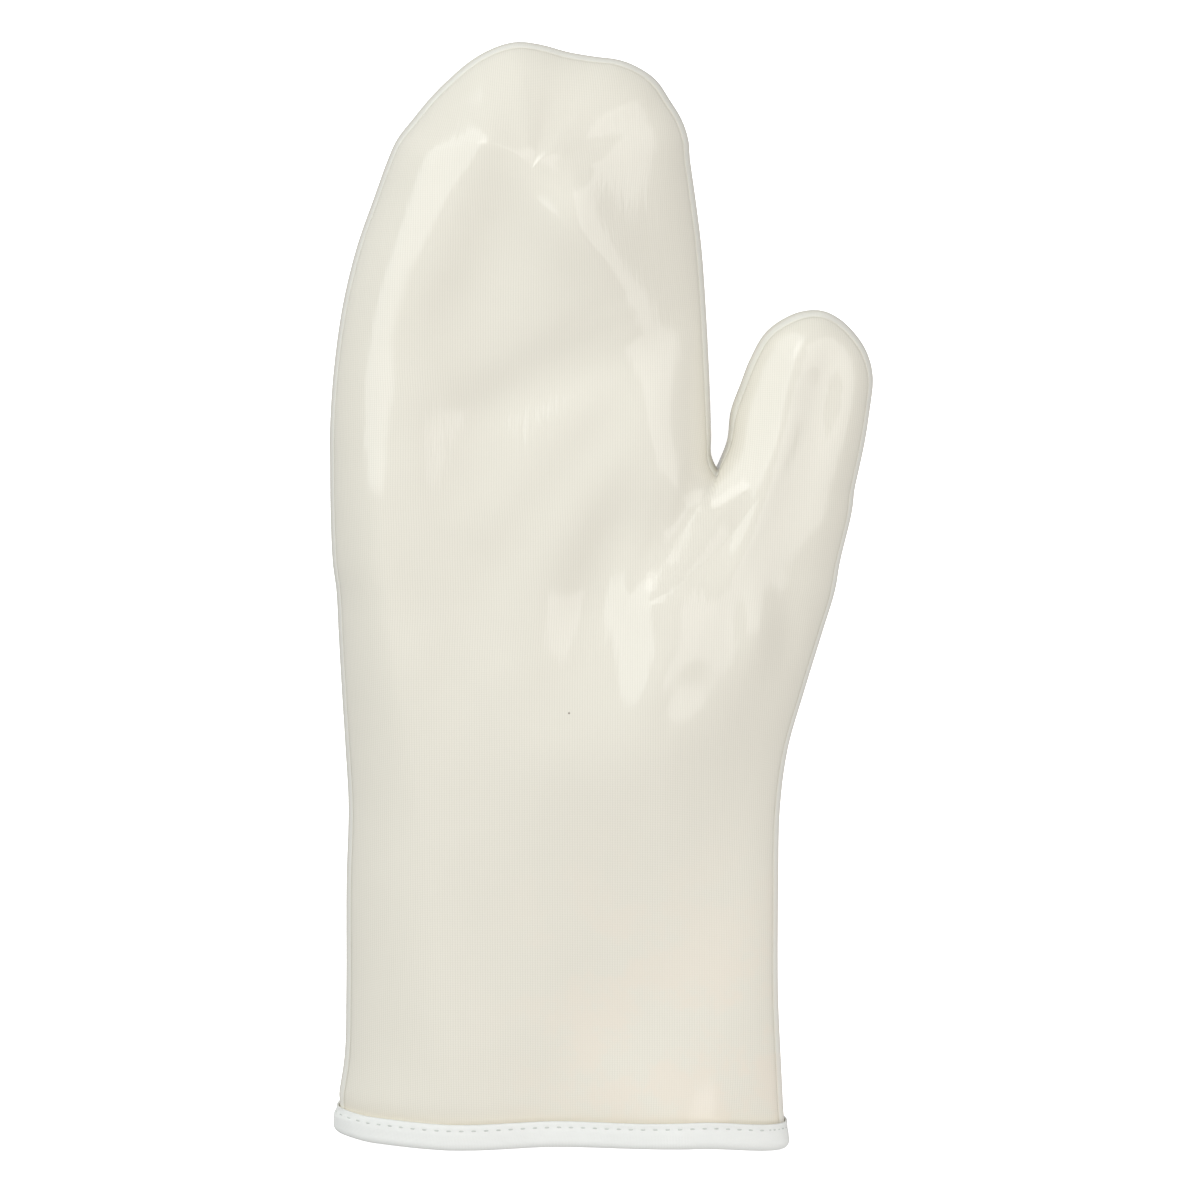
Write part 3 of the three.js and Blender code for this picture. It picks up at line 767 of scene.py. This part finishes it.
def knit(finish):
    """Raised wales along the hand, which are the size of a sine, and on each a row of slanted loops. Both
    are worked out from the cut's flat coordinates."""
    across, along = finish.across_along("cut")
    ridge = abs((across * (math.pi / WALE_PITCH)).sine())
    loop = (along * (2 * math.pi / COURSE_PITCH) + ridge * 2.2).sine()
    return ridge, loop


def speck(finish):
    """A tiny stain on the palm: 1 within its radius in the plane of the table, and 0 outside it. Near the
    table it is 0 too, so that the back has none."""
    apart = finish.parts(finish.place())
    aside, ahead = apart[0] - SPECK_PLACE[0], apart[1] - SPECK_PLACE[1]
    square = aside * aside + ahead * ahead
    return square.step(SPECK_RADIUS ** 2 * 1.4, SPECK_RADIUS ** 2 * 0.4) * apart[2].step(20 * MM, 21 * MM)


def make_coated_knit():
    """The clear silicone over the cream knit: glossy, with the wales just felt in the film. Its colour also
    has
    painted light and shade: a painted warm sheen in patches low on the cuff, painted peach shade above the
    tape, a strip outside the seam painted paler as if lit from the table, and a painted shade line at the
    seam."""
    finish = Finish("coated_knit", IOR=1.5)
    ridge, loop = knit(finish)
    across, along = finish.across_along("cut")
    inward = finish.across_along("edge")[1]
    cloud = finish.noise(finish.place(), TONE_CLOUDS, 3.0, 0.6)
    streak = finish.noise(finish.pair(across / STREAK_WIDTH, along / STREAK_LENGTH), 1.0, 2.0, 0.6)
    colour = finish.blend(ridge * 0.6 + loop * 0.2 + cloud * 0.4, KNIT_SHADE, KNIT_LIGHT)
    low_cuff = 1.0 - along.step(*PATCH_TOP)
    sheen_patches = finish.noise(finish.place(), PATCH_CLOUDS, 4.0, 0.65).step(0.42, 0.6)
    thumb_side = across.step(*PATCH_SIDE)
    # A warm sheen painted in patches low on the cuff, on the thumb's side: a painted reflection
    colour = finish.blend(low_cuff * thumb_side * sheen_patches * 0.55, colour, PAINTED_WARM_SHEEN)
    # Painted peach shade, darkest at the tape's top edge and fading upwards
    shade_above_tape = ((along - TAPE_WIDTH) * (-1 / PEACH_SHADE_REACH)).exp()
    colour = finish.blend(shade_above_tape * 0.55, colour, PAINTED_PEACH_SHADE)
    # Painted light on the strip outside the seam, paler as if lit from the table
    painted_strip_light = (inward * -1).step(*STRIP_START) * inward.step(*STRIP_END)
    colour = finish.blend(painted_strip_light * 0.35, colour, STRIP_PAINTED_LIGHT)
    at_seam = (abs(inward) * (-1 / SEAM_LINE)).exp()
    colour = finish.blend(at_seam * 0.2, colour, SEAM_SHADE)
    colour = finish.blend(speck(finish), colour, SPECK)
    height = ridge * 0.08 + loop * 0.04 + streak * 4.0
    gloss = cloud * 0.04 + 0.03
    return finish.shade(Base_Color=colour, Roughness=gloss, Normal=finish.bump(height, FILM_BUMP))


def make_bare_knit():
    """The fleecy inside of the same cloth, matte."""
    finish = Finish("bare_knit", Roughness=0.95, Sheen_Weight=0.3)
    ridge, loop = knit(finish)
    colour = finish.blend(ridge * 0.5 + loop * 0.2 + 0.2, srgb(206, 200, 184), srgb(228, 224, 210))
    return finish.shade(Base_Color=colour, Normal=finish.bump(ridge + loop * 0.4, KNIT_BUMP))


def make_binding_tape():
    """White woven tape, with fine ribs across it and along it."""
    finish = Finish("binding_tape", Roughness=0.8, Sheen_Weight=0.15, Specular_IOR_Level=0.3)
    around, up = finish.across_along("cut")
    rib = (around * (2 * math.pi / RIB_PITCH)).sine() * 0.5 + (up * (2 * math.pi / WEFT_PITCH)).sine() * 0.5
    cloud = finish.noise(finish.place(), TAPE_CLOUDS, 3.0, 0.6)
    colour = finish.blend(cloud * 0.7 + rib * 0.1 + 0.1, srgb(235, 236, 233), srgb(243, 244, 241))
    return finish.shade(Base_Color=colour, Normal=finish.bump(rib + cloud * 2.0, TAPE_BUMP))


def make_thread():
    """White sewing thread, uneven in tone."""
    finish = Finish("thread", Roughness=0.7)
    cloud = finish.noise(finish.place(), THREAD_CLOUDS, 2.0, 0.6)
    return finish.shade(Base_Color=finish.blend(cloud, srgb(188, 192, 188), srgb(222, 225, 220)))


coated_knit = make_coated_knit()
bare_knit = make_bare_knit()
binding_tape = make_binding_tape()
thread = make_thread()

# The skin of the whole hand
spokes = make_spokes()
distances = ring_distances(spokes)
palm_sheet, back_sheet = skin(spokes, distances, True), skin(spokes, distances, False)
palm_grid, back_grid = skin_numbers(len(spokes))
points = np.zeros((back_grid.max() + 1, 3))
points[palm_grid] = palm_sheet
points[back_grid] = back_sheet
palm_faces = quads(palm_grid[:, EDGE_RINGS:], turned=True)
rim_faces = quads(palm_grid[:, :EDGE_RINGS + 1], turned=True)
back_faces = quads(back_grid)
normals = point_normals(points, np.vstack([palm_faces, rim_faces, back_faces]))

# Where the CAD's back panel lies gives the shift from the hem's centre to the frame
low, high = (np.array(corner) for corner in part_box("back_panel"))
own = points[np.unique(np.vstack([rim_faces, back_faces]))]
shift = (low + high) / 2 - (own.min(0) + own.max(0)) / 2
shift[2] = 0


def walked_in(sheet):
    """The length of the surface along each spoke, from the outline in."""
    steps = np.linalg.norm(np.diff(sheet, axis=1), axis=2)
    return np.hstack([np.zeros((len(sheet), 1)), np.cumsum(steps, axis=1)])


# The seam pulls both panels in: a groove that dies away on both sides, by the length of the surface
palm_walk, back_walk = walked_in(palm_sheet), walked_in(back_sheet)
seam_walk = palm_walk[:, EDGE_RINGS:EDGE_RINGS + 1]
seam_distance = np.zeros(len(points))
seam_distance[back_grid] = back_walk + seam_walk
seam_distance[palm_grid] = np.abs(palm_walk - seam_walk)
points -= normals * (SEAM_DEPTH * np.exp(-seam_distance / SEAM_REACH))[:, None]
points -= normals * pinch_depth(points[:, 0], points[:, 1], points[:, 2])[:, None]

# Two maps. The cut's flat coordinates go out from the middle line by the length of the surface, and the
# strip of the back that turns up to the palm's seam lies further out. The edge map has the way round the
# outline, and the way from the seam into the palm, which is below 0 on the back
outwards = unit(spokes[:, 0:2] - spokes[:, 2:4])[:, None]
middle = spokes[:, None, 2:4]
foot_steps = np.linalg.norm(np.diff(spokes[:, 0:2], axis=0), axis=1)
round_outline = np.concatenate([[0], np.cumsum(foot_steps)])[:, None] + 0 * palm_walk
palm_flat, back_flat, palm_edge, back_edge = (np.zeros((len(points), 2)) for count in range(4))
back_flat[palm_grid] = middle + (back_walk[:, -1:] + palm_walk)[..., None] * outwards
back_flat[back_grid] = middle + (back_walk[:, -1:] - back_walk)[..., None] * outwards
palm_flat[palm_grid] = middle + (palm_walk[:, -1:] - palm_walk)[..., None] * outwards
palm_edge[palm_grid] = back_edge[palm_grid] = np.stack([round_outline, palm_walk - seam_walk], -1)
back_edge[back_grid] = np.stack([round_outline, -seam_walk - back_walk], -1)

# The two edges stand a little apart at the seam
seam_points = palm_grid[:, EDGE_RINGS]
into_palm = unit(points[palm_grid[:, EDGE_RINGS + 1]] - points[seam_points])
points += shift
palm_points, back_points = points.copy(), points.copy()
palm_points[seam_points] += into_palm * SEAM_GAP / 2
back_points[seam_points] -= into_palm * SEAM_GAP / 2

palm = make_panel("palm_cloth", palm_faces, palm_points, normals, {"cut": palm_flat, "edge": palm_edge})
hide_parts("palm_panel")
back_and_rim = np.vstack([rim_faces, back_faces])
back = make_panel("back_cloth", back_and_rim, back_points, normals, {"cut": back_flat, "edge": back_edge})
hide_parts("back_panel")

# The binding's own sheet: rows from the hem to its upper edge, and places all the way round the cuff
TAPE_ROWS = 16
TAPE_SIDE_STEPS = 110
STITCH_PITCH = 4.2 * MM
STITCH_BELOW_TOP = 2.0 * MM
STITCH_LENGTH = 1.8 * MM
STITCH_THICKNESS = 0.48 * MM
STITCH_SUNK = 0.28 * MM
DIMPLE_REACH = 0.8 * MM
DIMPLE_DEPTH = 0.35 * MM
CLOSE_LENGTH = 1.0 * MM
CLOSE_PITCH = 1.75 * MM
CLOSE_RUN = 9 * MM


def cuff_loop(rows):
    """Skin points round the whole cuff for spokes between the hem and the tape's upper edge: in from the
    left edge over the palm, out to the right edge, and back under the mitt. The steps are even along the
    surface."""
    count = STRETCH_STEPS[0]
    at = np.linspace(0, count, rows)
    low_row = np.clip(np.floor(at).astype(int), 0, count - 1)
    part = (at - low_row)[:, None]
    left = mix(spokes[low_row], spokes[low_row + 1], part)
    right = mix(spokes[-1 - low_row], spokes[-2 - low_row], part)

    def side(half, on_palm):
        length = np.linalg.norm(half[:, 2:4] - half[:, 0:2], axis=1)[:, None]
        share = 1 - np.cos(np.linspace(0, np.pi / 2, 400))[None, :]
        fine = skin(half, length * share, on_palm)
        walked = walked_in(fine)[rows // 2]
        goal = np.linspace(0, walked[-1], TAPE_SIDE_STEPS + 1)
        return skin(half, length * np.interp(goal, walked, share[0])[None, :], on_palm)

    palm_left, palm_right = side(left, True), side(right, True)
    back_left, back_right = side(left, False), side(right, False)
    parts = [palm_left, palm_right[:, -2::-1], back_right[:, 1:], back_left[:, -2:0:-1]]
    return np.concatenate(parts, axis=1)


def loop_normals(loop):
    """Unit normals of a sheet that closes on itself along its second axis, from its neighbours'
    differences."""
    round_way = np.roll(loop, -1, axis=1) - np.roll(loop, 1, axis=1)
    up_way = np.gradient(loop, axis=0)
    return unit(np.cross(round_way, up_way))


tape_loop = cuff_loop(TAPE_ROWS)
tape_normals = loop_normals(tape_loop)
tape_pressed = pinch_depth(tape_loop[..., 0], tape_loop[..., 1], tape_loop[..., 2])
tape_loop -= tape_normals * tape_pressed[..., None]
tape_line = tape_loop[TAPE_ROWS // 2]
tape_round = np.linalg.norm(np.roll(tape_line, -1, axis=0) - tape_line, axis=1)
tape_walk = np.concatenate([[0], np.cumsum(tape_round)])[:-1]


def tape_section(reach):
    """The tape's line across itself, for all places round the cuff. It goes down inside the cuff, round
    under the hem, and up outside, at the reach from the middle of the wall."""
    centre = tape_loop - tape_normals * WALL / 2
    inside = (centre - tape_normals * reach)[::-1]
    outside = centre + tape_normals * reach
    turn = np.linspace(0, np.pi, 10)[1:-1, None, None]
    down = np.array([0.0, -1.0, 0.0])
    under = centre[:1] + reach * (down * np.sin(turn) - tape_normals[:1] * np.cos(turn))
    return np.concatenate([inside, under, outside])


def make_tape():
    """The folded tape, as a closed skin: its outer line across, back along its inner one, round the cuff.
    The stitches pull a row of dimples into its upper part."""
    near = WALL / 2 + TAPE_CLEARANCE
    outer = tape_section(near + TAPE_THICKNESS)
    inner = tape_section(near)
    up = np.linspace(0, 1, TAPE_ROWS) * TAPE_WIDTH
    below = (TAPE_WIDTH - STITCH_BELOW_TOP - up)[:, None]
    phase = np.cos(np.pi * tape_walk / STITCH_PITCH)[None, :] ** 4
    dimple = np.exp(-(below / DIMPLE_REACH) ** 2) * (0.35 + 0.65 * (1 - phase)) * DIMPLE_DEPTH
    outer[-TAPE_ROWS:] -= tape_normals * dimple[..., None]
    ring = np.concatenate([outer, inner[::-1]]) + shift
    count, places = ring.shape[:2]
    numbers = np.arange(count * places).reshape(count, places)
    lengths = np.linalg.norm(np.diff(ring[:, 0], axis=0), axis=1)
    across = np.concatenate([[0], np.cumsum(lengths)])
    flat = np.stack([np.tile(tape_walk, (count, 1)), np.tile(across[:, None], (1, places))], -1)
    faces = quads(numbers.T, closed=True)
    faces = np.vstack([faces, quads(numbers[[-1, 0]].T, closed=True)])
    maps = {"cut": flat.reshape(-1, 2)}
    return make_piece("cuff_tape", ring.reshape(-1, 3), faces, [binding_tape], None, maps)


tape = make_tape()
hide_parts("cuff_binding")


def make_stitches():
    """Short threads in a row below the tape's upper edge, each a blunt ellipsoid of 8 by 5 faces laid along
    the tape. They are shorter and closer together at the thumb's end of the palm's row."""
    row = (TAPE_WIDTH - STITCH_BELOW_TOP) / TAPE_WIDTH * (TAPE_ROWS - 1)
    low_row = int(row)
    line = mix(tape_loop[low_row], tape_loop[low_row + 1], row - low_row)
    out = unit(mix(tape_normals[low_row], tape_normals[low_row + 1], row - low_row))
    line = line + out * (TAPE_CLEARANCE + TAPE_THICKNESS - STITCH_SUNK)
    total = tape_walk[-1] + tape_round[-1]
    palm_end = tape_walk[2 * TAPE_SIDE_STEPS]
    at = (np.arange(int(total / STITCH_PITCH)) + 0.5) * STITCH_PITCH
    at = at[(at < palm_end - CLOSE_RUN) | (at > palm_end)]
    at = np.sort(np.concatenate([at, palm_end - np.arange(0, CLOSE_RUN, CLOSE_PITCH)]))
    number = len(at)
    close = (at > palm_end - CLOSE_RUN) & (at <= palm_end)
    half_length = np.where(close, CLOSE_LENGTH, STITCH_LENGTH)[:, None, None, None] / 2

    def along(values):
        return np.stack([np.interp(at, tape_walk, values[:, axis]) for axis in range(3)], -1)

    centre, up = along(line), unit(along(out))
    forward = unit(along(np.roll(line, -1, axis=0) - np.roll(line, 1, axis=0)))
    aside = np.cross(up, forward)
    lengthwise = np.linspace(-1, 1, 6)
    width = np.sqrt(np.maximum(1 - lengthwise ** 2, 0))[None, :, None, None] ** 0.6
    angle = np.linspace(0, 2 * np.pi, 9)[:-1][None, None, :, None]
    thick = STITCH_THICKNESS / 2
    body = (
        centre[:, None, None] + forward[:, None, None] * lengthwise[None, :, None, None] * half_length
        + aside[:, None, None] * np.cos(angle) * width * thick * 1.1
        + up[:, None, None] * np.sin(angle) * width * thick
    )
    rings, steps = body.shape[1:3]
    one = np.arange(rings * steps).reshape(rings, steps)
    closed = np.hstack([one, one[:, :1]])
    closed[0], closed[-1] = one[0, 0], one[-1, 0]
    faces = quads(closed, turned=True)
    every = (faces[None] + (np.arange(number) * rings * steps)[:, None, None]).reshape(-1, 4)
    used, local = np.unique(every, return_inverse=True)
    corners = (body.reshape(-1, 3) + shift)[used]
    return make_piece("cuff_stitches", corners, local.reshape(-1, 4), [thread])


stitches = make_stitches()

# The table: white and lit from below, and it gives the mitt no light
FLOOR_GLOW = 0.8
FLOOR_HALF = 4
floor_mesh = bpy.data.meshes.new("floor")
floor_corners = [(x * FLOOR_HALF, y * FLOOR_HALF, 0) for x, y in ((-1, -1), (1, -1), (1, 1), (-1, 1))]
floor_mesh.from_pydata(floor_corners, [], [(0, 1, 2, 3)])
floor_finish = Finish("floor", Roughness=1.0, Specular_IOR_Level=0.0)
floor_paper = floor_finish.noise(floor_finish.place(), PAPER_CLOUDS)
floor_mesh.materials.append(floor_finish.shade(
    Base_Color=floor_finish.blend(floor_paper, srgb(251, 251, 251), srgb(253, 253, 253)),
    Emission_Color=(1.0, 1.0, 1.0, 1.0), Emission_Strength=FLOOR_GLOW))
floor = bpy.data.objects.new("floor", floor_mesh)
floor.visible_glossy = False
floor.visible_diffuse = False
floor.visible_shadow = False
bpy.context.scene.collection.objects.link(floor)


def softbox(name, place, width, length, brightness, tint):
    """A rectangular light at a place, facing the frame's origin, with its length along the hand. Its power is
    the brightness times pi times its area, and the tint is its colour."""
    lamp = bpy.data.lights.new(name, "AREA")
    lamp.shape = "RECTANGLE"
    lamp.size, lamp.size_y = width, length
    lamp.energy = brightness * math.pi * width * length
    lamp.color = tint
    holder = bpy.data.objects.new(name, lamp)
    holder.location = place
    away = Vector(place).normalized()
    lengthwise = (Vector((0, 1, 0)) - away * away.y).normalized()
    axes = Matrix((lengthwise.cross(away), lengthwise, away)).transposed()
    holder.rotation_euler = axes.to_euler()
    holder.visible_camera = False
    bpy.context.scene.collection.objects.link(holder)


softbox("left_light", (-1.307, 1.136, 1.233), 2.08, 2.83, 1.6, (0.965, 1.0, 1.0))
softbox("right_light", (0.939, 0.385, 1.196), 1.12, 1.41, 1.3, (1.0, 0.985, 0.97))
softbox("low_light", (0.742, -1.203, 0.987), 0.65, 0.58, 5.1, (1.0, 0.985, 0.97))
softbox("upper_light", (-0.635, 1.526, 1.731), 0.98, 1.19, 1.6, (1.0, 0.99, 0.98))

# The room's even light, a little weaker from above than from below
SKY = 0.4
GROUND = 0.48
world = bpy.data.worlds.new("studio")
world.use_nodes = True
tree = world.node_tree
where = tree.nodes.new("ShaderNodeTexCoord")
heights = tree.nodes.new("ShaderNodeSeparateXYZ")
passing = tree.nodes.new("ShaderNodeMapRange")
tree.links.new(where.outputs["Generated"], heights.inputs[0])
tree.links.new(heights.outputs["Z"], passing.inputs["Value"])
passing.interpolation_type = "SMOOTHSTEP"
for socket, number in (("From Min", -0.4), ("From Max", 0.4), ("To Min", GROUND), ("To Max", SKY)):
    passing.inputs[socket].default_value = number
background = tree.nodes["Background"]
background.inputs["Color"].default_value = (1.0, 1.0, 1.0, 1.0)
tree.links.new(passing.outputs[0], background.inputs["Strength"])
bpy.context.scene.world = world
bpy.context.scene.view_settings.view_transform = "Standard"
